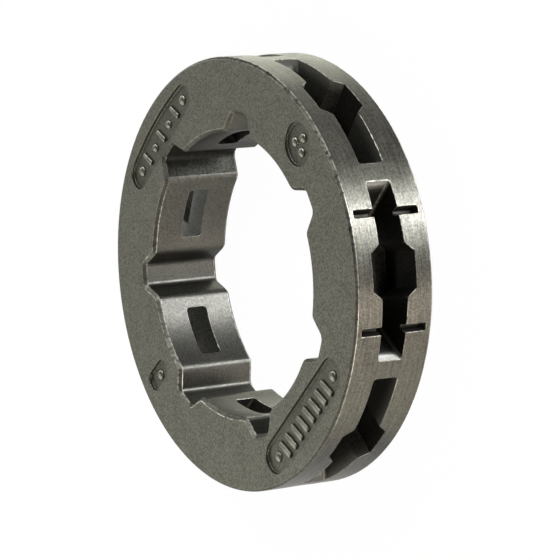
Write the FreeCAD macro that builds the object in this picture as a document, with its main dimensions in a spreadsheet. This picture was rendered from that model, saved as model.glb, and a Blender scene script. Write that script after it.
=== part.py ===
import FreeCAD, Part
import os
import Sketcher

# A chainsaw rim sprocket: one cast steel ring that slides on a splined drum hub.
# The ring lies on its plain face, its axis along Z and its marked face up.
# The drive pocket that carries the wear cuts points along +X.

NODE = "rim_sprocket"

# Driving dimensions, in millimetres and degrees
SIZES = {
    "outer_diameter": 36.6,
    "rim_width": 7.6,
    "rim_edge_chamfer": 0.2,
    # splined bore
    "spline_count": 7,
    "land_diameter": 24.0,
    "groove_diameter": 27.36,
    "groove_floor_width": 1.86,
    "groove_flank_angle": 28,
    "land_corner_radius": 0.85,
    "groove_corner_radius": 0.55,
    "bore_edge_chamfer": 0.28,
    # drive pockets, open from the rim to the bore
    "tooth_count": 7,
    "tooth_top_width": 1.6,
    "slot_width": 2.46,
    "window_length": 4.4,
    "window_width": 2.0,
    "pocket_corner_radius": 0.25,
    # wide relief in the middle of each pocket
    "relief_length": 4.4,
    "relief_shoulder": 0.7,
    "relief_width": 4.25,
    "relief_depth": 4.1,
    # wear cuts across one pocket
    "wear_cut_angle": 15,
    "wear_cut_width": 0.65,
    "wear_cut_floor_width": 0.3,
    "wear_cut_edge_gap": 0.63,
    "wear_cut_depth": 0.8,
    "wear_cut_corner_radius": 0.15,
    # shallow recesses in the marked face
    "recess_depth": 0.35,
    "recess_rim_gap": 1.0,
    "panel_back_radius": 34.0,
    "size_panel_angle": 128.6,
    "size_panel_length": 12.5,
    "size_panel_width": 2.45,
    "name_panel_angle": -51.2,
    "name_panel_length": 14.1,
    "name_panel_width": 2.75,
    "grade_disc_angle": 43,
    "grade_disc_diameter": 3.6,
    "date_panel_angle": 214.7,
    "date_panel_length": 3.2,
    "date_panel_width": 1.75,
    "date_panel_corner_radius": 0.7,
    "date_panel_rim_gap": 1.3,
    # how far a cut runs past the surface it opens
    "cut_overrun": 1.0,
}

# Sizes that follow from the driving dimensions
DERIVED = {
    "outer_radius": "Sizes.outer_diameter / 2",
    "mid_width": "Sizes.rim_width / 2",
    "land_radius": "Sizes.land_diameter / 2",
    "groove_radius": "Sizes.groove_diameter / 2",
    # a groove opens from its floor to a mouth inside the bore
    "groove_mouth_place": "land_radius - Sizes.cut_overrun",
    "groove_mouth_width": "Sizes.groove_floor_width"
    " + 2 * tan(Sizes.groove_flank_angle) * (groove_radius - groove_mouth_place)",
    # corners and chamfers that a shallow groove's flank still has room for
    "flank_length": "(groove_radius - land_radius) / cos(Sizes.groove_flank_angle)",
    "land_corner": "min(Sizes.land_corner_radius; flank_length / 2)",
    "groove_corner": "min(Sizes.groove_corner_radius; flank_length / 2)",
    "bore_chamfer": "min(Sizes.bore_edge_chamfer; land_corner / 2)",
    # the pocket's end walls run straight from the rim to the ends of its window
    "pocket_half_angle": "180 / Sizes.tooth_count - asin(Sizes.tooth_top_width / Sizes.outer_diameter) / 1deg",
    "pocket_end_place": "outer_radius * cos(pocket_half_angle)",
    "pocket_end_reach": "outer_radius * sin(pocket_half_angle)",
    "window_end_place": "sqrt(land_radius ^ 2 - (Sizes.window_length / 2) ^ 2)",
    "flank_slope": "(pocket_end_reach - Sizes.window_length / 2) / (pocket_end_place - window_end_place)",
    "draft_slope": "(Sizes.slot_width - Sizes.window_width) / (outer_radius - land_radius)",
    "cut_mouth_place": "outer_radius + Sizes.cut_overrun",
    "pocket_inner_place": "window_end_place - Sizes.cut_overrun / 2",
    "pocket_inner_length": "Sizes.window_length + 2 * flank_slope * (pocket_inner_place - window_end_place)",
    "pocket_mouth_length": "Sizes.window_length + 2 * flank_slope * (cut_mouth_place - window_end_place)",
    "pocket_inner_width": "Sizes.window_width + draft_slope * (pocket_inner_place - land_radius)",
    "pocket_mouth_width": "Sizes.window_width + draft_slope * (cut_mouth_place - land_radius)",
    "relief_flat_length": "Sizes.relief_length - 2 * Sizes.relief_shoulder",
    # a wear cut's walls slope in from the rim to its floor
    "wear_cut_taper": "Sizes.wear_cut_width - Sizes.wear_cut_floor_width",
    "wear_cut_slope": "wear_cut_taper / Sizes.wear_cut_depth",
    "wear_cut_floor_place": "outer_radius - Sizes.wear_cut_depth",
    "wear_cut_floor_length": "Sizes.rim_width - 2 * Sizes.wear_cut_edge_gap - wear_cut_taper",
    "wear_cut_mouth_length": "wear_cut_floor_length + wear_cut_slope * (cut_mouth_place - wear_cut_floor_place)",
    "wear_cut_mouth_width": "Sizes.wear_cut_floor_width + wear_cut_slope * (cut_mouth_place - wear_cut_floor_place)",
    "grade_disc_place": "outer_radius - Sizes.recess_rim_gap - Sizes.grade_disc_diameter / 2",
    "date_panel_place": "outer_radius - Sizes.date_panel_rim_gap - Sizes.date_panel_length / 2",
}

# Points of a sketch line or arc, as the sketcher numbers them
START, END, CENTRE = range(1, 4)
# Its own axes, which it counts down from minus one
X_AXIS = -1
Y_AXIS = X_AXIS - 1
SKETCH_ORIGIN = (X_AXIS, START)
UPRIGHT = FreeCAD.Vector(0, 0, 1)

doc = FreeCAD.newDocument("RimSprocket")


def fill_sheet(name, cells):
    """A sheet with one named cell for each entry."""
    sheet = doc.addObject("Spreadsheet::Sheet", name)
    for row, (alias, content) in enumerate(cells.items(), start=1):
        sheet.set(f"A{row}", alias)
        sheet.setAlias(f"B{row}", alias)
        sheet.set(f"B{row}", str(content))
    return sheet


fill_sheet("Sizes", SIZES)
derived = fill_sheet("Derived", {alias: "=" + formula for alias, formula in DERIVED.items()})
doc.recompute()

body = doc.addObject("PartDesign::Body", "RimSprocketBody")
body.Label = NODE


def origin_feature(role):
    """The body's own plane or axis of that role."""
    return next(item for item in body.Origin.OriginFeatures if item.Role == role)


def new_sketch(name, plane, offsets, turn=None):
    """An empty sketch on an origin plane, moved and turned by expressions."""
    sketch = body.newObject("Sketcher::SketchObject", name)
    sketch.AttachmentSupport = [(origin_feature(plane), "")]
    sketch.MapMode = "FlatFace"
    for direction, formula in offsets.items():
        sketch.setExpression(f"AttachmentOffset.Base.{direction}", formula)
    if turn:
        axis, formula = turn
        sketch.AttachmentOffset = FreeCAD.Placement(FreeCAD.Vector(), FreeCAD.Rotation(axis, 1))
        sketch.setExpression("AttachmentOffset.Rotation.Angle", formula)
    return sketch


def name_size(sketch, constraint, name, formula):
    """Adds a measured constraint and ties it to a formula of the sheets."""
    index = sketch.addConstraint(constraint)
    sketch.renameConstraint(index, name)
    sketch.setExpression(f"Constraints.{name}", formula)


def arc_about(x, y, radius, first, last):
    """An arc about a point of the sketch, between two angles in radians."""
    circle = Part.Circle(FreeCAD.Vector(x, y), UPRIGHT, radius)
    return Part.ArcOfCircle(circle, first, last)


def draw_circle(sketch, name, diameter, centre_x=None):
    """A circle round the sketch's origin, or on its X axis at a formula's distance."""
    circle = sketch.addGeometry(Part.Circle(FreeCAD.Vector(), UPRIGHT, 1))
    if centre_x:
        sketch.addConstraint(Sketcher.Constraint("PointOnObject", circle, CENTRE, X_AXIS))
        away = Sketcher.Constraint("DistanceX", *SKETCH_ORIGIN, circle, CENTRE, 1)
        name_size(sketch, away, f"{name}Place", centre_x)
    else:
        sketch.addConstraint(Sketcher.Constraint("Coincident", circle, CENTRE, *SKETCH_ORIGIN))
    name_size(sketch, Sketcher.Constraint("Diameter", circle, 2), f"{name}Diameter", diameter)


def draw_polygon(sketch, corners):
    """A closed outline of straight lines; returns the lines in order."""
    points = [FreeCAD.Vector(x, y) for x, y in corners]
    lines = []
    for start, end in zip(points, points[1:] + points[:1]):
        lines.append(sketch.addGeometry(Part.LineSegment(start, end)))
    for line, following in zip(lines, lines[1:] + lines[:1]):
        sketch.addConstraint(Sketcher.Constraint("Coincident", line, END, following, START))
    return lines


def draw_groove(sketch):
    """A spline groove on the X axis, from its floor to its mouth inside the bore."""
    floor, _, mouth, _ = draw_polygon(sketch, [(2, -0.5), (2, 0.5), (1, 1), (1, -1)])
    for line in (floor, mouth):
        sketch.addConstraint(Sketcher.Constraint("Symmetric", line, START, line, END, X_AXIS))
    sizes = [
        ("FloorPlace", "DistanceX", SKETCH_ORIGIN, (floor, START), "Derived.groove_radius"),
        ("MouthPlace", "DistanceX", SKETCH_ORIGIN, (mouth, START), "Derived.groove_mouth_place"),
        ("FloorWidth", "DistanceY", (floor, START), (floor, END), "Sizes.groove_floor_width"),
        ("MouthWidth", "DistanceY", (mouth, END), (mouth, START), "Derived.groove_mouth_width"),
    ]
    for name, kind, first, second, formula in sizes:
        name_size(sketch, Sketcher.Constraint(kind, *first, *second, 1), name, formula)


def draw_relief(sketch):
    """A long octagon round the sketch's origin, its ends as wide as the slot."""
    corners = [(1, 2), (-1, 2), (-2, 1), (-2, -1), (-1, -2), (1, -2), (2, -1), (2, 1)]
    side, _, end, _, far_side, _, far_end, _ = draw_polygon(sketch, corners)
    for line in (side, far_side):
        sketch.addConstraint(Sketcher.Constraint("Symmetric", line, START, line, END, Y_AXIS))
    for line in (end, far_end):
        sketch.addConstraint(Sketcher.Constraint("Symmetric", line, START, line, END, X_AXIS))
    sketch.addConstraint(Sketcher.Constraint("Equal", end, far_end))
    sketch.addConstraint(Sketcher.Constraint("Symmetric", side, START, far_side, START, *SKETCH_ORIGIN))
    sizes = [
        ("FlatLength", "DistanceX", (side, END), (side, START), "Derived.relief_flat_length"),
        ("FullWidth", "DistanceY", (far_side, START), (side, END), "Sizes.relief_width"),
        ("EndWidth", "DistanceY", (end, END), (end, START), "Sizes.slot_width"),
        ("EndPlace", "DistanceX", SKETCH_ORIGIN, (far_end, START), "Sizes.relief_length / 2"),
        ("FarEndPlace", "DistanceX", (end, START), SKETCH_ORIGIN, "Sizes.relief_length / 2"),
    ]
    for name, kind, first, second, formula in sizes:
        name_size(sketch, Sketcher.Constraint(kind, *first, *second, 1), name, formula)


def draw_rounded_rectangle(sketch, length, width, corner):
    """A rectangle with round corners about the sketch's origin, its length along X."""
    half_length, half_width, radius = 2.0, 1.0, 0.1
    quarter = FreeCAD.Units.Quantity("90 deg").getValueAs("rad").Value
    flat_x, flat_y = half_length - radius, half_width - radius
    ends = [
        ((-flat_x, -half_width), (flat_x, -half_width)),
        ((half_length, -flat_y), (half_length, flat_y)),
        ((flat_x, half_width), (-flat_x, half_width)),
        ((-half_length, flat_y), (-half_length, -flat_y)),
    ]
    centres = [(flat_x, -flat_y), (flat_x, flat_y), (-flat_x, flat_y), (-flat_x, -flat_y)]
    lines = []
    for start, end in ends:
        segment = Part.LineSegment(FreeCAD.Vector(*start), FreeCAD.Vector(*end))
        lines.append(sketch.addGeometry(segment))
    arcs = []
    for index, centre in enumerate(centres):
        corner_arc = arc_about(*centre, radius, (index - 1) * quarter, index * quarter)
        arcs.append(sketch.addGeometry(corner_arc))
    for line, arc, following in zip(lines, arcs, lines[1:] + lines[:1]):
        sketch.addConstraint(Sketcher.Constraint("Tangent", line, END, arc, START))
        sketch.addConstraint(Sketcher.Constraint("Tangent", arc, END, following, START))
    bottom, right, top, left = lines
    for line in (bottom, top):
        sketch.addConstraint(Sketcher.Constraint("Horizontal", line))
    for line in (right, left):
        sketch.addConstraint(Sketcher.Constraint("Vertical", line))
    for arc, following in zip(arcs, arcs[1:]):
        sketch.addConstraint(Sketcher.Constraint("Equal", arc, following))
    sketch.addConstraint(Sketcher.Constraint("Symmetric", arcs[0], CENTRE, arcs[2], CENTRE, *SKETCH_ORIGIN))
    name_size(sketch, Sketcher.Constraint("Radius", arcs[0], radius), "Corner", corner)
    across = Sketcher.Constraint("DistanceX", left, START, right, START, 2 * half_length)
    name_size(sketch, across, "Length", length)
    along = Sketcher.Constraint("DistanceY", bottom, START, top, START, 2 * half_width)
    name_size(sketch, along, "Width", width)


def draw_panel(sketch, length, width):
    """A long recess across the X axis with round ends and a bowed back, a set gap inside the rim."""
    straight, radius, place, back_radius = 2.0, 0.5, 3.0, 10.0
    half_turn = FreeCAD.Units.Quantity("180 deg").getValueAs("rad").Value
    spread = 0.2
    front = sketch.addGeometry(Part.LineSegment(
        FreeCAD.Vector(place - radius, straight), FreeCAD.Vector(place - radius, -straight)))
    back = sketch.addGeometry(arc_about(place + radius - back_radius, 0, back_radius, -spread, spread))
    lower = sketch.addGeometry(arc_about(place, -straight, radius, half_turn, 2 * half_turn - spread))
    upper = sketch.addGeometry(arc_about(place, straight, radius, spread, half_turn))
    for side, end_arc in ((front, lower), (back, upper)):
        sketch.addConstraint(Sketcher.Constraint("Tangent", side, END, end_arc, START))
    for end_arc, side in ((lower, back), (upper, front)):
        sketch.addConstraint(Sketcher.Constraint("Tangent", end_arc, END, side, START))
    sketch.addConstraint(Sketcher.Constraint("Vertical", front))
    sketch.addConstraint(Sketcher.Constraint("Equal", lower, upper))
    reach = f"({length} - {width}) / 2"
    end_place = f"sqrt((Derived.outer_radius - Sizes.recess_rim_gap - {width} / 2) ^ 2 - ({reach}) ^ 2)"
    name_size(sketch, Sketcher.Constraint("Radius", lower, radius), "EndRadius", f"{width} / 2")
    name_size(sketch, Sketcher.Constraint("Radius", back, back_radius), "BackRadius", "Sizes.panel_back_radius")
    out = Sketcher.Constraint("DistanceX", *SKETCH_ORIGIN, upper, CENTRE, place)
    name_size(sketch, out, "Place", end_place)
    above = Sketcher.Constraint("DistanceY", *SKETCH_ORIGIN, upper, CENTRE, straight)
    name_size(sketch, above, "UpperReach", reach)
    below = Sketcher.Constraint("DistanceY", lower, CENTRE, *SKETCH_ORIGIN, straight)
    name_size(sketch, below, "LowerReach", reach)


def set_tip(feature):
    """Makes a feature the body's last one and works the model out."""
    body.Tip = feature
    doc.recompute()
    return feature


def cut_pocket(name, sketch, depth):
    """A pocket from a sketch to a depth, which has to take material away."""
    before = body.Shape.Volume
    pocket = body.newObject("PartDesign::Pocket", name)
    pocket.Profile = sketch
    pocket.setExpression("Length", depth)
    set_tip(pocket)
    if body.Shape.Volume >= before:
        raise RuntimeError(f"{name} cuts nothing")
    return pocket


def cut_wedge(name, angle, levels):
    """A tapering cut into the rim at an angle; each level has its place, its width along Z and its length across."""
    wedge = body.newObject("PartDesign::SubtractiveWedge", name)
    wedge.Placement = FreeCAD.Placement(FreeCAD.Vector(), FreeCAD.Rotation(UPRIGHT, 1))
    wedge.setExpression("Placement.Base.z", "Derived.mid_width")
    wedge.setExpression("Placement.Rotation.Angle", f"{angle} - 90")
    for (end, mark), (place, width, length) in zip((("min", ""), ("max", "2")), levels):
        wedge.setExpression(f"Y{end}", place)
        for side, sign in (("min", "-"), ("max", "")):
            wedge.setExpression(f"X{mark}{side}", f"{sign}{length} / 2")
            wedge.setExpression(f"Z{mark}{side}", f"{sign}{width} / 2")
    return set_tip(wedge)


def polar_pattern(name, original, count):
    """Copies of a feature evenly round the ring's axis."""
    pattern = body.newObject("PartDesign::PolarPattern", name)
    pattern.Originals = [original]
    pattern.Axis = (origin_feature("Z_Axis"), [""])
    pattern.Angle = 360
    pattern.setExpression("Occurrences", count)
    return set_tip(pattern)


def dress_edges(kind, name, size, formula, chosen):
    """A fillet or chamfer on the edges that a test picks from the last feature."""
    base = body.Tip
    edges = [f"Edge{index}" for index, edge in enumerate(base.Shape.Edges, start=1) if chosen(edge)]
    feature = body.newObject(f"PartDesign::{kind}", name)
    feature.Base = (base, edges)
    feature.setExpression(size, formula)
    return set_tip(feature)


def middle_of(edge):
    """The point halfway along an edge."""
    return edge.valueAt((edge.FirstParameter + edge.LastParameter) / 2)


def from_axis(point):
    """A point's distance from the ring's axis."""
    return FreeCAD.Vector(point.x, point.y, 0).Length


TOLERANCE = 1e-4


def is_upright_at(edge, radius):
    """True for an edge along Z at that distance from the axis."""
    flat = edge.BoundBox.XLength + edge.BoundBox.YLength
    return flat < TOLERANCE and abs(from_axis(middle_of(edge)) - radius) < TOLERANCE


def is_face_edge(edge):
    """True for an edge that lies in one of the ring's two faces."""
    return edge.BoundBox.ZLength < TOLERANCE


def is_rim_edge(edge):
    """True for the outer edge of a face."""
    return is_face_edge(edge) and abs(from_axis(middle_of(edge)) - derived.outer_radius) < TOLERANCE


def is_pocket_corner(edge):
    """True for an edge that runs all the way from the bore to the rim."""
    ends = [from_axis(vertex.Point) for vertex in edge.Vertexes]
    return min(ends) < derived.groove_radius and max(ends) > derived.outer_radius - TOLERANCE


def is_wear_cut_corner(edge):
    """True for an edge of a wear cut, outside the pocket, that runs from the rim to its floor."""
    ends = [from_axis(vertex.Point) for vertex in edge.Vertexes]
    across = abs(middle_of(edge).z - derived.mid_width)
    depth_left = min(ends) - derived.wear_cut_floor_place
    return (
        max(ends) > derived.outer_radius - TOLERANCE
        and -TOLERANCE < depth_left < SIZES["wear_cut_depth"] / 2
        and across > SIZES["relief_width"] / 2
    )


# The blank ring
ring = new_sketch("RingOutline", "XY_Plane", {})
draw_circle(ring, "Outer", "Sizes.outer_diameter")
draw_circle(ring, "Land", "Sizes.land_diameter")
blank = body.newObject("PartDesign::Pad", "Blank")
blank.Profile = ring
blank.setExpression("Length", "Sizes.rim_width")
set_tip(blank)

# Spline grooves, each over the tooth between two pockets
groove_sketch = new_sketch(
    "GrooveOutline", "XY_Plane", {"z": "Sizes.rim_width"},
    turn=(UPRIGHT, "180 / Sizes.spline_count"))
draw_groove(groove_sketch)
groove = cut_pocket("SplineGroove", groove_sketch, "Sizes.rim_width")
polar_pattern("SplineGrooves", groove, "Sizes.spline_count")

# Rounded spline corners and softened edges
groove_corner_place = FreeCAD.Vector(derived.groove_radius, SIZES["groove_floor_width"] / 2, 0).Length
dress_edges("Fillet", "LandCorners", "Radius", "Derived.land_corner",
            lambda edge: is_upright_at(edge, derived.land_radius))
dress_edges("Fillet", "GrooveCorners", "Radius", "Derived.groove_corner",
            lambda edge: is_upright_at(edge, groove_corner_place))
dress_edges("Chamfer", "RimEdges", "Size", "Sizes.rim_edge_chamfer", is_rim_edge)
dress_edges("Chamfer", "BoreEdges", "Size", "Derived.bore_chamfer",
            lambda edge: is_face_edge(edge) and from_axis(middle_of(edge)) < derived.groove_radius + TOLERANCE)

# Drive pocket: a tapering slot for the chain's drive link that ends in a window in the bore
drive_pocket = cut_wedge("DrivePocket", "0", [
    ("Derived.pocket_inner_place", "Derived.pocket_inner_width", "Derived.pocket_inner_length"),
    ("Derived.cut_mouth_place", "Derived.pocket_mouth_width", "Derived.pocket_mouth_length"),
])
polar_pattern("DrivePockets", drive_pocket, "Sizes.tooth_count")
dress_edges("Fillet", "PocketCorners", "Radius", "Sizes.pocket_corner_radius", is_pocket_corner)

# Relief in the middle of each pocket, cut after the corners are rounded so that it keeps its own sharp ones
relief_sketch = new_sketch(
    "ReliefOutline", "YZ_Plane", {"y": "Derived.mid_width", "z": "Derived.outer_radius"})
draw_relief(relief_sketch)
relief = cut_pocket("PocketRelief", relief_sketch, "Sizes.relief_depth")
polar_pattern("PocketReliefs", relief, "Sizes.tooth_count")

# Wear cuts across the slot, one each side of the relief
wear_cut = cut_wedge("WearCut", "Sizes.wear_cut_angle", [
    ("Derived.wear_cut_floor_place", "Derived.wear_cut_floor_length", "Sizes.wear_cut_floor_width"),
    ("Derived.cut_mouth_place", "Derived.wear_cut_mouth_length", "Derived.wear_cut_mouth_width"),
])
wear_pair = body.newObject("PartDesign::Mirrored", "WearCutPair")
wear_pair.Originals = [wear_cut]
wear_pair.MirrorPlane = (origin_feature("XZ_Plane"), [""])
set_tip(wear_pair)
dress_edges("Fillet", "WearCutCorners", "Radius", "Sizes.wear_cut_corner_radius", is_wear_cut_corner)

# Recesses in the marked face
for panel in ("size_panel", "name_panel"):
    panel_sketch = new_sketch(
        f"{panel}_outline", "XY_Plane", {"z": "Sizes.rim_width"}, turn=(UPRIGHT, f"Sizes.{panel}_angle"))
    draw_panel(panel_sketch, f"Sizes.{panel}_length", f"Sizes.{panel}_width")
    cut_pocket(panel, panel_sketch, "Sizes.recess_depth")

disc_sketch = new_sketch(
    "grade_disc_outline", "XY_Plane", {"z": "Sizes.rim_width"}, turn=(UPRIGHT, "Sizes.grade_disc_angle"))
draw_circle(disc_sketch, "Disc", "Sizes.grade_disc_diameter", "Derived.grade_disc_place")
cut_pocket("grade_disc", disc_sketch, "Sizes.recess_depth")

date_sketch = new_sketch(
    "date_panel_outline", "XY_Plane",
    {
        "x": "Derived.date_panel_place * cos(Sizes.date_panel_angle)",
        "y": "Derived.date_panel_place * sin(Sizes.date_panel_angle)",
        "z": "Sizes.rim_width",
    },
    turn=(UPRIGHT, "Sizes.date_panel_angle"))
draw_rounded_rectangle(
    date_sketch, "Sizes.date_panel_length", "Sizes.date_panel_width", "Sizes.date_panel_corner_radius")
cut_pocket("date_panel", date_sketch, "Sizes.recess_depth")

# Nothing is written unless every feature worked and the ring is one sound solid
doc.recompute()
for item in doc.Objects:
    if "Invalid" in item.State or "Error" in item.State:
        raise RuntimeError(f"{item.Name} failed: {item.State}")
shape = body.Shape
if shape.isNull() or not shape.isValid() or len(shape.Solids) != 1:
    raise RuntimeError(f"{NODE} is not one valid solid")

os.makedirs("parts", exist_ok=True)
shape.exportStep(f"parts/{body.Label}.step")
print(f"{body.Label}: {shape.Volume:.1f} mm3, {len(shape.Faces)} faces, {shape.BoundBox}")
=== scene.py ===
import bpy
import bmesh
import math
from mathutils import Matrix, Vector
from mathutils.bvhtree import BVHTree
from mathutils.interpolate import poly_3d_calc


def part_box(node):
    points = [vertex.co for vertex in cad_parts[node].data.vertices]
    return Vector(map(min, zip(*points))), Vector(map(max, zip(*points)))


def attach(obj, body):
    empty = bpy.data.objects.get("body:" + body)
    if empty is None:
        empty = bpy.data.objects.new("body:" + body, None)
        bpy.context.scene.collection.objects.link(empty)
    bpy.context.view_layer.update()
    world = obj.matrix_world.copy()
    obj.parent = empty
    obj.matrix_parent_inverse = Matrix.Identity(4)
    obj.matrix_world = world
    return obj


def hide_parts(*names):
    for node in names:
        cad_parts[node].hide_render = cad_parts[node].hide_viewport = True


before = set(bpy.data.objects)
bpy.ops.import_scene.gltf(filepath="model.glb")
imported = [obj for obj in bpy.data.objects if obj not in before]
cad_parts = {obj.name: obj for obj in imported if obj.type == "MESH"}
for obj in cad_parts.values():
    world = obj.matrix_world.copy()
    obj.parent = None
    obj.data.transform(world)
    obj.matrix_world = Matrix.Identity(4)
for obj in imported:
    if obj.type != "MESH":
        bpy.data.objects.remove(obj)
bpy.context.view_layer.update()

mm = 0.001
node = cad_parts["rim_sprocket"]
low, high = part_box("rim_sprocket")
rimRadius = (high.x - low.x) / 2


def polar(angle, radius, height):  # a point round the ring's axis
    turn = math.radians(angle)
    return Vector((radius * math.cos(turn), radius * math.sin(turn), height))


def addObject(name, data):
    made = bpy.data.objects.new(name, data)
    bpy.context.scene.collection.objects.link(made)
    return made


def meshFrom(work, name):
    mesh = bpy.data.meshes.new(name)
    work.to_mesh(mesh)
    work.free()
    return mesh


# node helpers
def wire(tree, kind, inputs=None, **settings):
    made = tree.nodes.new(kind)
    for key, value in settings.items():
        setattr(made, key, value)
    for key, value in (inputs or {}).items():
        if isinstance(value, bpy.types.NodeSocket):
            tree.links.new(value, made.inputs[key])
        else:
            made.inputs[key].default_value = value
    return made


mixSockets = {"FLOAT": (2, 3, 0), "VECTOR": (4, 5, 1), "RGBA": (6, 7, 2)}  # both inputs and the output


def mix(tree, kind, share, first, second):
    firstInput, secondInput, output = mixSockets[kind]
    made = wire(tree, "ShaderNodeMix", {0: share, firstInput: first, secondInput: second}, data_type=kind)
    return made.outputs[output]


def combine(tree, operation, first, second):
    return wire(tree, "ShaderNodeMath", {0: first, 1: second}, operation=operation).outputs[0]


def newGroup(name, inputs, outputs):
    group = bpy.data.node_groups.new(name, "ShaderNodeTree")
    for label, value in inputs:
        kind = "NodeSocketColor" if isinstance(value, tuple) else "NodeSocketFloat"
        group.interface.new_socket(label, in_out="INPUT", socket_type=kind).default_value = value
    for label, kind in outputs:
        group.interface.new_socket(label, in_out="OUTPUT", socket_type=kind)
    return group, group.nodes.new("NodeGroupInput").outputs, group.nodes.new("NodeGroupOutput").inputs


# sintered grain: fine speckle over slow mottling
def makeGrainGroup():
    group, given, out = newGroup(
        "sinteredGrain",
        [("Grain Scale", 5200.0), ("Mottle Scale", 420.0), ("Mottle Share", 0.4),
         ("Dark", (0.1, 0.1, 0.09, 1)), ("Light", (0.18, 0.18, 0.16, 1))],
        [("Color", "NodeSocketColor"), ("Height", "NodeSocketFloat"), ("Mask", "NodeSocketFloat")])
    place = wire(group, "ShaderNodeTexCoord").outputs["Object"]
    fine = wire(group, "ShaderNodeTexNoise", {
        "Vector": place, "Scale": given["Grain Scale"], "Detail": 2.5, "Roughness": 0.6}).outputs["Fac"]
    slow = wire(group, "ShaderNodeTexNoise", {
        "Vector": place, "Scale": given["Mottle Scale"], "Detail": 4.0, "Roughness": 0.6}).outputs["Fac"]
    both = mix(group, "FLOAT", given["Mottle Share"], fine, slow)
    spread = wire(group, "ShaderNodeMapRange", {"Value": both, "From Min": 0.34, "From Max": 0.66}).outputs[0]
    group.links.new(mix(group, "RGBA", spread, given["Dark"], given["Light"]), out["Color"])
    group.links.new(fine, out["Height"])
    group.links.new(spread, out["Mask"])
    return group


# turning lines: long thin streaks that run round the ring
def makeLineGroup():
    group, given, out = newGroup(
        "turningLines", [("Dim", 0.7), ("Bright", 1.3)],
        [("Gain", "NodeSocketFloat"), ("Height", "NodeSocketFloat")])
    place = wire(group, "ShaderNodeTexCoord").outputs["Object"]
    drawn = wire(group, "ShaderNodeMapping", {"Vector": place, "Scale": (340, 340, 6800)}).outputs[0]
    lines = wire(group, "ShaderNodeTexNoise", {
        "Vector": drawn, "Scale": 1.0, "Detail": 3.0, "Roughness": 0.62}).outputs["Fac"]
    gain = wire(group, "ShaderNodeMapRange", {
        "Value": lines, "From Min": 0.33, "From Max": 0.67,
        "To Min": given["Dim"], "To Max": given["Bright"]}).outputs[0]
    group.links.new(gain, out["Gain"])
    group.links.new(lines, out["Height"])
    return group


# edge wear and painted glint: the rounded edges, rubbed bright in broken stretches, laid most where the lamps
# glint
def makeWearGlintGroup():
    group, given, out = newGroup(
        "edgeWearAndGlint", [("Amount", 1.0), ("Break Scale", 2400.0)], [("Mask", "NodeSocketFloat")])
    place = wire(group, "ShaderNodeTexCoord").outputs["Object"]
    edge = wire(group, "ShaderNodeAttribute", attribute_name="edge").outputs["Fac"]
    patches = wire(group, "ShaderNodeTexNoise", {
        "Vector": place, "Scale": given["Break Scale"], "Detail": 3.0, "Roughness": 0.6}).outputs["Fac"]
    broken = wire(group, "ShaderNodeMapRange", {
        "Value": patches, "From Min": 0.37, "From Max": 0.58}).outputs[0]
    rubbed = combine(group, "MULTIPLY", edge, broken)
    group.links.new(combine(group, "MULTIPLY", rubbed, given["Amount"]), out["Mask"])
    return group


# toward the rim: a mask that grows from one radius to another, and the way outward
def makeRimwardGroup():
    group, given, out = newGroup(
        "towardRim", [("Start", 0.0172), ("End", 0.018), ("Share", 0.5)],
        [("Outward", "NodeSocketVector"), ("Mask", "NodeSocketFloat")])
    place = wire(group, "ShaderNodeTexCoord").outputs["Object"]
    flat = wire(group, "ShaderNodeVectorMath", {0: place, 1: (1, 1, 0)}, operation="MULTIPLY").outputs[0]
    reach = wire(group, "ShaderNodeVectorMath", {0: flat}, operation="LENGTH").outputs["Value"]
    outward = wire(group, "ShaderNodeVectorMath", {0: flat}, operation="NORMALIZE").outputs[0]
    mask = wire(group, "ShaderNodeMapRange", {
        "Value": reach, "From Min": given["Start"], "From Max": given["End"],
        "To Max": given["Share"]}, interpolation_type="SMOOTHSTEP").outputs[0]
    group.links.new(outward, out["Outward"])
    group.links.new(mask, out["Mask"])
    return group


grainGroup = makeGrainGroup()
lineGroup = makeLineGroup()
wearGlintGroup = makeWearGlintGroup()
rimwardGroup = makeRimwardGroup()
print("node groups ready")
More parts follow.
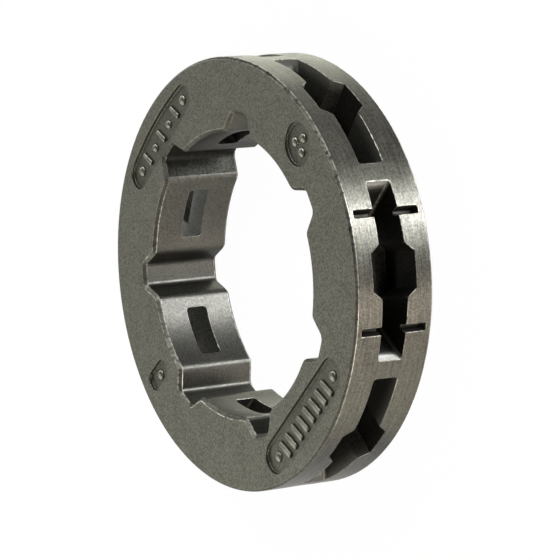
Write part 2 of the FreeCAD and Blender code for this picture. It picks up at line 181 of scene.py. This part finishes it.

# finishes: base colours, some with painted shade and some with painted light, gloss, grain and wear of each
# kind of surface
# rough is (glossy, matt), lines are (dim, bright), wear is the share of edge wear with painted glint, and the
# painted highlight toward the rim and leadIn are (start, end, share) of towardRim
finishes = {
    "castFace": dict(
        dark=(0.088, 0.088, 0.078, 1), light=(0.188, 0.188, 0.168, 1), rough=(0.46, 0.58),
        grain=6500, mottle=0.14, bump=0.02 * mm, wear=1.0),
    "chamfer": dict(
        dark=(0.052, 0.052, 0.046, 1), light=(0.12, 0.12, 0.107, 1), rough=(0.44, 0.56),
        grain=5200, mottle=0.2, bump=0.02 * mm, wear=1.0),
    # painted shade: the chamfer painted darker on the side where the lamps glint
    "dimChamfer": dict(
        dark=(0.018, 0.018, 0.016, 1), light=(0.046, 0.046, 0.041, 1), rough=(0.44, 0.56),
        grain=5200, mottle=0.2, bump=0.02 * mm, wear=1.0),
    "groundRim": dict(
        dark=(0.05, 0.048, 0.042, 1), light=(0.104, 0.101, 0.089, 1), rough=(0.33, 0.4),
        grain=5400, mottle=0.12, bump=0.006 * mm, wear=1.0, lines=(0.76, 1.27), stretch=0.7),
    "boreLand": dict(
        dark=(0.042, 0.041, 0.037, 1), light=(0.08, 0.078, 0.071, 1), rough=(0.37, 0.43),
        grain=5200, mottle=0.2, bump=0.014 * mm, wear=1.0, stretch=0.4),
    # painted shade: groove floors that lie in shade, painted near black
    "darkGroove": dict(
        dark=(0.007, 0.007, 0.006, 1), light=(0.025, 0.025, 0.022, 1), rough=(0.4, 0.5),
        grain=5200, mottle=0.2, bump=0.014 * mm, wear=0.8),
    # painted shade: pocket walls painted darker than the face, with a painted highlight toward the rim
    "pocketWall": dict(
        dark=(0.034, 0.034, 0.031, 1), light=(0.078, 0.078, 0.071, 1), rough=(0.5, 0.62),
        grain=4600, mottle=0.3, bump=0.03 * mm, wear=1.0, rimHighlight=(17.0 * mm, 18.3 * mm, 0.3)),
    # painted shade: pockets that the lamps leave in shade, painted near black
    "paintedShadePocket": dict(
        dark=(0.011, 0.011, 0.01, 1), light=(0.034, 0.034, 0.031, 1), rough=(0.44, 0.58),
        grain=4600, mottle=0.3, bump=0.03 * mm, wear=1.0),
    # painted shade: pocket end walls painted near black, with a painted highlight near the rim
    "pocketEnd": dict(
        dark=(0.012, 0.012, 0.011, 1), light=(0.04, 0.04, 0.036, 1), rough=(0.38, 0.5),
        grain=4600, mottle=0.2, bump=0.04 * mm, wear=1.0,
        rimHighlight=(16.9 * mm, 17.9 * mm, 0.25), leadIn=(17.2 * mm, 18.0 * mm, 0.5)),
    # painted light: the pocket wall seen through the bore window, painted bright as if lit
    "litPocket": dict(
        dark=(0.21, 0.22, 0.22, 1), light=(0.36, 0.37, 0.37, 1), rough=(0.46, 0.56),
        grain=4600, mottle=0.3, bump=0.02 * mm, wear=1.0),
    # painted shade: the narrow cuts painted near black
    "wearCut": dict(
        dark=(0.018, 0.017, 0.015, 1), light=(0.04, 0.038, 0.034, 1), rough=(0.5, 0.62),
        grain=4600, mottle=0.3, bump=0.015 * mm, wear=0.3),
    "recessFloor": dict(
        dark=(0.074, 0.074, 0.066, 1), light=(0.144, 0.144, 0.128, 1), rough=(0.42, 0.52),
        grain=5200, mottle=0.3, bump=0.02 * mm, wear=0.0),
    "raisedMark": dict(
        dark=(0.15, 0.15, 0.134, 1), light=(0.26, 0.26, 0.232, 1), rough=(0.26, 0.36),
        grain=5200, mottle=0.2, bump=0.012 * mm, wear=0.0),
}
# painted highlight: the lighter colour that pocket walls take toward the rim
rimHighlightColor = (0.36, 0.36, 0.34, 1)
# wear with painted glint: the bright colour of rubbed edges, laid most where the lamps glint
wornGlintSteel = dict(color=(0.72, 0.71, 0.67, 1), rough=0.28)


def addRimward(tree, values):
    return wire(
        tree, "ShaderNodeGroup", dict(zip(("Start", "End", "Share"), values)), node_tree=rimwardGroup).outputs


def makeFinish(name):
    finish = finishes[name]
    material = bpy.data.materials.new(name)
    material.use_nodes = True
    tree = material.node_tree
    shader = tree.nodes["Principled BSDF"]
    shader.inputs["Metallic"].default_value = 1.0
    grain = wire(tree, "ShaderNodeGroup", {
        "Grain Scale": finish["grain"], "Mottle Share": finish["mottle"],
        "Dark": finish["dark"], "Light": finish["light"]}, node_tree=grainGroup).outputs
    color, height = grain["Color"], grain["Height"]
    if "lines" in finish:
        dim, bright = finish["lines"]
        lines = wire(tree, "ShaderNodeGroup", {"Dim": dim, "Bright": bright}, node_tree=lineGroup).outputs
        color = wire(tree, "ShaderNodeVectorMath", {
            0: color, "Scale": lines["Gain"]}, operation="SCALE").outputs[0]
        height = lines["Height"]
    if "rimHighlight" in finish:  # painted highlight: lighter toward the rim, where light reaches into the pockets
        color = mix(tree, "RGBA", addRimward(tree, finish["rimHighlight"])["Mask"], color, rimHighlightColor)
    wornGlint = wire(tree, "ShaderNodeGroup", {"Amount": finish["wear"]}, node_tree=wearGlintGroup).outputs["Mask"]
    glossy, matt = finish["rough"]
    gloss = wire(tree, "ShaderNodeMapRange", {
        "Value": grain["Mask"], "To Min": matt, "To Max": glossy}).outputs[0]
    tree.links.new(mix(tree, "RGBA", wornGlint, color, wornGlintSteel["color"]), shader.inputs["Base Color"])
    tree.links.new(mix(tree, "FLOAT", wornGlint, gloss, wornGlintSteel["rough"]), shader.inputs["Roughness"])
    normal = wire(tree, "ShaderNodeBump", {
        "Strength": 1.0, "Distance": finish["bump"], "Height": height}).outputs[0]
    if "leadIn" in finish:  # near the rim the surface turns to face outward
        leadIn = addRimward(tree, finish["leadIn"])
        normal = mix(tree, "VECTOR", leadIn["Mask"], normal, leadIn["Outward"])
    tree.links.new(normal, shader.inputs["Normal"])
    if "stretch" in finish:  # the sheen spreads across the turning lines, along the axis
        shader.inputs["Anisotropic"].default_value = finish["stretch"]
        axis = wire(tree, "ShaderNodeCombineXYZ", {"Z": 1.0}).outputs[0]
        tree.links.new(axis, shader.inputs["Tangent"])
    return material


materials = {name: makeFinish(name) for name in finishes}
print("finishes", len(materials))

# ring body: the CAD ring with rounded edges, and a finish for each kind of face
ringBody = dict(
    name="ring_body", mergeGap=0.012 * mm, flatAngle=0.4, creaseAngle=8, sharpAngle=25,
    edgeRound=0.07 * mm, edgeSegments=2, rimRound=0.06 * mm, recessRound=0.11 * mm, recessSegments=3,
    nearby=0.03 * mm, sameFacing=0.8, teeth=7,
    # places that tell one kind of face from another
    boreReach=13.9 * mm, cutReach=17.3 * mm, rimDepth=0.1 * mm, chamferDepth=0.35 * mm,
    edgeHeight=0.3 * mm, recessFloor=7.25 * mm, floorBelow=0.01 * mm, floorAbove=0.04 * mm,
    # the upward and outward parts of a face's normal
    uprightMost=0.3, slopedLeast=0.5, slopedMost=0.9, litLeast=0.5, rimOutward=0.9, boreOutward=-0.2,
    # painted shade by angle round the ring, and painted light at litAngle: (middle, half width), and for
    # grooves the least radius too
    endAngle=13, litAngle=154.3, paintedShadePockets=[(0, 12), (168, 8), (205.7, 25)],
    paintedShadeGrooves=[(128.6, 10, 12.55 * mm), (283, 12, 12.5 * mm)],
    # rubbing of the edges with painted glint: most at these angles, where the lamps glint, least behind them;
    # round the first angle the chamfer is painted darker, a painted shade
    rubbedGlintAngle=48, boreAngle=228, leastRubbedGlint=0.22, rubbedGlintFade=1.5, dimSpan=45,
    chamferRubbedGlint=0.1, faceRubbedGlint=0.3, unrubbedRounds=1.5)  # roundings from an inner edge that stay unrubbed
skins = [name for name in finishes if name != "raisedMark"]
chamferSkins = {"chamfer", "dimChamfer"}


# smooth normals of the CAD surface, looked up by place and by facing
def makeNormalLookup():
    source = node.data
    points = [vertex.co.copy() for vertex in source.vertices]
    corners = [tuple(face.vertices) for face in source.polygons]
    facings = [face.normal.copy() for face in source.polygons]
    normals = [corner.vector.copy() for corner in source.corner_normals]
    starts = [face.loop_start for face in source.polygons]
    tree = BVHTree.FromPolygons(points, corners)

    def normalAt(place, facing):
        found = tree.find_nearest_range(place, ringBody["nearby"])
        if not found:
            return facing.copy()
        spot, _, index, _ = max(found, key=lambda near: facings[near[2]].dot(facing))
        if facings[index].dot(facing) < ringBody["sameFacing"]:
            return facing.copy()
        shares = poly_3d_calc([points[corner] for corner in corners[index]], spot)
        blend = sum((normals[starts[index] + turn] * share for turn, share in enumerate(shares)), Vector())
        return blend.normalized()

    return normalAt


def pocketSkin(face, reach, angle, upright):
    if reach > ringBody["cutReach"]:
        return "wearCut"
    step = 360 / ringBody["teeth"]
    if upright and abs((angle + step / 2) % step - step / 2) > ringBody["endAngle"]:
        return "pocketEnd"
    # painted shade: the pockets at these angles take the near black finish
    for middleAngle, halfAngle in ringBody["paintedShadePockets"]:
        if abs((angle - middleAngle + 180) % 360 - 180) < halfAngle:
            return "paintedShadePocket"
    # painted light: the upward walls seen through the bore window at litAngle take the bright finish
    if face.normal.z > ringBody["litLeast"] and abs(angle - ringBody["litAngle"]) < step / 2:
        return "litPocket"
    return "pocketWall"


def skinOf(face):
    middle = face.calc_center_median()
    reach = math.hypot(middle.x, middle.y)
    angle = math.degrees(math.atan2(middle.y, middle.x)) % 360
    outward = (face.normal.x * middle.x + face.normal.y * middle.y) / reach
    upward = abs(face.normal.z)
    upright = upward < ringBody["uprightMost"]
    inBore = reach < ringBody["boreReach"]
    floorLevel = ringBody["recessFloor"] - ringBody["floorBelow"]
    floorTop = ringBody["recessFloor"] + ringBody["floorAbove"]
    if upright and outward > ringBody["rimOutward"] and reach > rimRadius - ringBody["rimDepth"]:
        return "groundRim"
    if upright and outward < ringBody["boreOutward"] and inBore:
        # painted shade: the grooves at these angles are painted near black
        for middleAngle, halfAngle, least in ringBody["paintedShadeGrooves"]:
            if abs(angle - middleAngle) < halfAngle and reach > least:
                return "darkGroove"
        return "boreLand"
    if middle.z > floorLevel and (upright or middle.z < floorTop):
        return "recessFloor"
    if ringBody["edgeHeight"] < middle.z < floorLevel:
        return pocketSkin(face, reach, angle, upright)
    sloped = ringBody["slopedLeast"] < upward < ringBody["slopedMost"]
    if sloped and (inBore or reach > rimRadius - ringBody["chamferDepth"]):
        # painted shade: the outer chamfer is painted darker round the angle where the lamps glint most
        dim = not inBore and abs(angle - ringBody["rubbedGlintAngle"]) < ringBody["dimSpan"]
        return "dimChamfer" if dim else "chamfer"
    return "castFace"


# the sharp edges, sorted by where they lie
def sortEdges(work, normalAt):
    groups = dict(recess=[], rim=[], outer=[], inner=[])
    for edge in work.edges:
        if len(edge.link_faces) != 2 or edge.calc_face_angle(0) <= math.radians(ringBody["creaseAngle"]):
            continue
        middle = (edge.verts[0].co + edge.verts[1].co) / 2
        first, second = (normalAt(middle, face.normal) for face in edge.link_faces)
        if first.angle(second, 0) <= math.radians(ringBody["sharpAngle"]):
            continue
        touched = {skins[face.material_index] for face in edge.link_faces}
        if "recessFloor" in touched:
            kind = "recess"
        elif chamferSkins & touched and middle.xy.length > ringBody["boreReach"]:
            kind = "rim"
        else:
            kind = "outer" if edge.is_convex else "inner"
        groups[kind].append(edge)
    return groups


def edgeFinder(edges):  # finds the nearest point on these edges
    ends = [vert.co.copy() for edge in edges for vert in edge.verts]
    return BVHTree.FromPolygons(ends, [(turn, turn + 1, turn + 1) for turn in range(0, len(ends), 2)])


def roundEdges(work, groups):
    rounded = work.faces.layers.int.new("rounded")
    for edges, offset, segments in (
            (groups["recess"], ringBody["recessRound"], ringBody["recessSegments"]),
            (groups["rim"], ringBody["rimRound"], ringBody["edgeSegments"]),
            (groups["outer"] + groups["inner"], ringBody["edgeRound"], ringBody["edgeSegments"])):
        made = bmesh.ops.bevel(
            work, geom=[edge for edge in edges if edge.is_valid], offset=offset, offset_type="OFFSET",
            affect="EDGES", segments=segments, profile=0.5, material=-1, clamp_overlap=False)
        for face in made["faces"]:
            face[rounded] = 1
            face.smooth = True
    bmesh.ops.triangulate(work, faces=[face for face in work.faces if len(face.verts) > 4])
    work.normal_update()
    work.verts.index_update()


# flat faces keep the CAD surface's normals, and the roundings run from one to the next
def cornerNormals(work, normalAt):
    rounded = work.faces.layers.int["rounded"]
    corners = [(face, loop.vert) for face in work.faces for loop in face.loops]
    normals = []
    shared = {}
    for face, vert in corners:
        normal = None if face[rounded] else normalAt(vert.co, face.normal)
        if normal is not None:
            shared[vert.index] = shared.get(vert.index, Vector()) + normal
        normals.append(normal)
    for turn, (face, vert) in enumerate(corners):
        if normals[turn] is None:
            normals[turn] = shared.get(vert.index, vert.normal).normalized()
    return normals


def rubbedGlintShare(place):  # edges are rubbed, with a painted glint, most on the side where the lamps glint
    inBore = place.xy.length < ringBody["boreReach"]
    most = ringBody["boreAngle"] if inBore else ringBody["rubbedGlintAngle"]
    facing = math.cos(math.atan2(place.y, place.x) - math.radians(most))
    least = ringBody["leastRubbedGlint"]
    share = least + (1 - least) * max(facing, 0) ** ringBody["rubbedGlintFade"]
    onFace = min(place.z - low.z, high.z - place.z) < ringBody["rimRound"] / 2
    return share * ringBody["faceRubbedGlint"] if onFace and not inBore else share


# only outside corners are rubbed and painted with a glint, and none round a recess
def markRubbedGlint(work, edgeLevel, innerFinder, recessFinder):
    rounded = work.faces.layers.int["rounded"]
    innerClear = ringBody["edgeRound"] * ringBody["unrubbedRounds"]
    recessClear = ringBody["recessRound"] * ringBody["unrubbedRounds"]
    for vert in work.verts:
        flat = {skins[face.material_index] for face in vert.link_faces if not face[rounded]}
        kept = (flat - chamferSkins or innerFinder.find_nearest(vert.co, innerClear)[0]
                or recessFinder.find_nearest(vert.co, recessClear)[0])
        level = 0.0 if kept else rubbedGlintShare(vert.co)
        vert[edgeLevel] = level * ringBody["chamferRubbedGlint"] if flat else level


def makeRingBody():
    normalAt = makeNormalLookup()
    work = bmesh.new()
    work.from_mesh(node.data)
    bmesh.ops.remove_doubles(work, verts=work.verts, dist=ringBody["mergeGap"])
    bmesh.ops.dissolve_limit(
        work, angle_limit=math.radians(ringBody["flatAngle"]), verts=work.verts, edges=work.edges)
    for face in work.faces:
        face.smooth = True
        face.material_index = skins.index(skinOf(face))
    groups = sortEdges(work, normalAt)
    innerFinder, recessFinder = edgeFinder(groups["inner"]), edgeFinder(groups["recess"])
    roundEdges(work, groups)
    edgeLevel = work.verts.layers.float.new("edge")
    normals = cornerNormals(work, normalAt)
    markRubbedGlint(work, edgeLevel, innerFinder, recessFinder)
    for vert in work.verts:  # nothing stands past the CAD box
        vert.co = [min(max(value, least), most) for value, least, most in zip(vert.co, low, high)]
    mesh = meshFrom(work, ringBody["name"])
    mesh.normals_split_custom_set(normals)
    for skin in skins:
        mesh.materials.append(materials[skin])
    body = addObject(ringBody["name"], mesh)
    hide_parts("rim_sprocket")
    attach(body, "root")
    return body


body = makeRingBody()
print("ring body", len(body.data.polygons), "faces")

# plain raised marks in the recesses: pips (along, across, radius) and slanted ribs (along, across), in mm
recessMarks = dict(
    name="recess_marks", rise=0.24 * mm, sink=0.07 * mm, ribRound=0.15 * mm, ribSegments=3, ribSlant=16,
    pipTurns=20, pipRings=12,
    fields=[
        dict(angle=128.6, place=15.42,
             pips=[(-4.7, 0, 0.5), (-1.55, 0, 0.42), (1.55, 0, 0.42), (4.7, 0, 0.5)],
             ribSize=(1.5, 0.5), ribs=[(3.1 * turn, 0.05) for turn in (-1, 0, 1)]),
        dict(angle=-51.2, place=15.05, pips=[(-5.55, -0.1, 0.5), (5.55, -0.1, 0.5)],
             ribSize=(1.85, 0.55), ribs=[(-4.2 + 1.2 * turn, 0.12) for turn in range(8)]),
        dict(angle=43, place=15.5, pips=[(-0.62, -0.36, 0.45), (0.62, -0.36, 0.45), (0, 0.68, 0.45)]),
        dict(angle=214.7, place=15.4, pips=[(0, 0, 0.5)]),
    ])


def addPip(work, place, radius):
    made = bmesh.ops.create_uvsphere(
        work, u_segments=recessMarks["pipTurns"], v_segments=recessMarks["pipRings"], radius=1.0)
    bmesh.ops.scale(work, verts=made["verts"], vec=(radius, radius, recessMarks["rise"]))
    bmesh.ops.translate(work, verts=made["verts"], vec=place)


def addRib(work, place, length, width, angle):
    made = bmesh.ops.create_cube(work, size=1.0)
    tall = recessMarks["rise"] + recessMarks["sink"]
    bmesh.ops.scale(work, verts=made["verts"], vec=(length, width, tall))
    edges = list(dict.fromkeys(edge for vert in made["verts"] for edge in vert.link_edges))
    done = bmesh.ops.bevel(
        work, geom=edges, offset=recessMarks["ribRound"], offset_type="OFFSET", affect="EDGES",
        segments=recessMarks["ribSegments"], profile=0.5, material=-1, clamp_overlap=True)
    verts = [vert for face in done["faces"] for vert in face.verts]
    verts += [vert for vert in made["verts"] if vert.is_valid]
    lift = place.z + (recessMarks["rise"] - recessMarks["sink"]) / 2
    turn = Matrix.Rotation(math.radians(angle), 4, "Z")
    bmesh.ops.transform(
        work, verts=list(dict.fromkeys(verts)), matrix=Matrix.Translation((place.x, place.y, lift)) @ turn)


def makeRecessMarks():
    work = bmesh.new()
    for field in recessMarks["fields"]:
        centre = polar(field["angle"], field["place"] * mm, ringBody["recessFloor"])
        across = polar(field["angle"], mm, 0)
        along = polar(field["angle"] + 90, mm, 0)
        for run, out, radius in field["pips"]:
            addPip(work, centre + along * run + across * out, radius * mm)
        for run, out in field.get("ribs", []):
            length, width = field["ribSize"]
            addRib(work, centre + along * run + across * out, length * mm, width * mm,
                   field["angle"] + recessMarks["ribSlant"])
    for face in work.faces:
        face.smooth = True
    mesh = meshFrom(work, recessMarks["name"])
    mesh.materials.append(materials["raisedMark"])
    marks = addObject(recessMarks["name"], mesh)
    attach(marks, "root")
    return marks


marks = makeRecessMarks()
print("recess marks", len(marks.data.polygons), "faces")

# floor: white to the camera, and dimmer in the ring's reflections
floorSheet = dict(
    name="floor", reach=2.0, drop=0.01 * mm, whiteShare=0.98, mirrorShare=0.6, color=(0.9, 0.9, 0.9, 1))


def makeFloor():
    work = bmesh.new()
    bmesh.ops.create_grid(work, x_segments=1, y_segments=1, size=floorSheet["reach"])
    bmesh.ops.translate(work, verts=work.verts, vec=(0, 0, -floorSheet["drop"]))
    mesh = meshFrom(work, floorSheet["name"])
    floor = addObject(floorSheet["name"], mesh)
    material = bpy.data.materials.new("paleFloor")
    material.use_nodes = True
    tree = material.node_tree
    tree.nodes.clear()
    path = wire(tree, "ShaderNodeLightPath").outputs
    seen = combine(tree, "MAXIMUM", path["Is Camera Ray"], path["Is Transmission Ray"])
    seen = combine(tree, "MULTIPLY", seen, floorSheet["whiteShare"])
    mirrored = combine(tree, "MULTIPLY", path["Is Glossy Ray"], floorSheet["mirrorShare"])
    share = combine(tree, "MAXIMUM", seen, mirrored)
    matt = wire(tree, "ShaderNodeBsdfDiffuse", {"Color": floorSheet["color"]}).outputs[0]
    white = wire(tree, "ShaderNodeEmission", {"Color": (1, 1, 1, 1), "Strength": 1.0}).outputs[0]
    mixed = wire(tree, "ShaderNodeMixShader", {0: share, 1: matt, 2: white}).outputs[0]
    wire(tree, "ShaderNodeOutputMaterial", {"Surface": mixed})
    mesh.materials.append(material)
    floor.visible_shadow = False  # a light table: lamps stand under it too


makeFloor()

# lamps: azimuth and elevation in degrees, radiance as the lamp's own brightness
lampAway = 0.3  # metres from the origin
lamps = {
    "bandUnder": dict(azimuth=26, elevation=-32, wide=0.06, tall=0.26, radiance=19, tint=(0.94, 0.95, 1)),
    "bandSoft": dict(azimuth=26, elevation=-32, wide=0.165, tall=0.26, radiance=4.6, tint=(0.95, 1, 0.94)),
    "warmUnder": dict(azimuth=-20, elevation=-32, wide=0.08, tall=0.26, radiance=3.8, tint=(1, 0.89, 0.79)),
    "dimUnder": dict(azimuth=-64, elevation=-32, wide=0.28, tall=0.26, radiance=1.1, tint=(1, 0.95, 0.77)),
    "backUnder": dict(azimuth=134, elevation=-32, wide=0.2, tall=0.26, radiance=1.45, tint=(0.98, 1, 0.78)),
    "warmSide": dict(azimuth=-45, elevation=6, wide=0.3, tall=0.1, radiance=11.5, tint=(1, 0.9, 0.76)),
    "backSide": dict(azimuth=165, elevation=6, wide=0.3, tall=0.1, radiance=1.2, tint=(1, 0.98, 0.8)),
    "farFace": dict(azimuth=184, elevation=30, wide=0.24, tall=0.22, radiance=0.3, tint=(0.95, 1, 1)),
    "leftFace": dict(azimuth=-135, elevation=44, wide=0.3, tall=0.26, radiance=1.7, tint=(1, 0.97, 0.85)),
    "topStrip": dict(azimuth=80, elevation=42, wide=0.22, tall=0.06, radiance=9.5, tint=(1, 0.99, 0.9)),
    "edgeNear": dict(azimuth=46, elevation=50, wide=0.14, tall=0.04, radiance=5, tint=(1, 1, 0.96)),
    "edgeFar": dict(azimuth=138, elevation=36, wide=0.2, tall=0.04, radiance=6, tint=(1, 1, 0.96)),
    "warmRim": dict(azimuth=-118, elevation=18, wide=0.12, tall=0.1, radiance=2, tint=(1, 0.94, 0.82)),
}


def makeLamp(name, lamp):
    light = bpy.data.lights.new(name, "AREA")
    light.shape = "RECTANGLE"
    light.size = lamp["wide"]
    light.size_y = lamp["tall"]
    light.energy = lamp["radiance"] * math.pi * lamp["wide"] * lamp["tall"]
    light.color = lamp["tint"]
    # the floor hides low lamps from mirrored rays, so those lamps are sampled directly only
    light.cycles.use_multiple_importance_sampling = lamp["elevation"] > 0
    stand = addObject(name, light)
    tilt = math.radians(lamp["elevation"])
    stand.location = polar(lamp["azimuth"], lampAway * math.cos(tilt), lampAway * math.sin(tilt))
    stand.rotation_euler = stand.location.to_track_quat("Z", "Y").to_euler()


for name, lamp in lamps.items():
    makeLamp(name, lamp)

studio = dict(color=(1, 0.99, 0.88, 1), strength=0.19)
world = bpy.data.worlds.new("studio")
world.use_nodes = True
background = world.node_tree.nodes["Background"]
background.inputs["Color"].default_value = studio["color"]
background.inputs["Strength"].default_value = studio["strength"]
bpy.context.scene.world = world
print("floor and lamps ready")

# the photo's viewpoint, rolled as the photo is
photoView = dict(
    place=(0.20844, 0.01096, 0.14231), aim=(0.0004, -0.0007, 0.00417), upward=(0, 1, -0.0844),
    lens=190.35, sensor=36, nearest=0.001)


def makeCamera():
    data = bpy.data.cameras.new("photoView")
    data.lens = photoView["lens"]
    data.sensor_width = photoView["sensor"]
    data.clip_start = photoView["nearest"]
    camera = addObject("photoView", data)
    back = (Vector(photoView["place"]) - Vector(photoView["aim"])).normalized()
    right = Vector(photoView["upward"]).cross(back).normalized()
    turn = Matrix((right, back.cross(right), back)).transposed()
    camera.matrix_world = Matrix.Translation(photoView["place"]) @ turn.to_4x4()
    bpy.context.scene.camera = camera


makeCamera()
bpy.context.scene.view_settings.view_transform = "Standard"
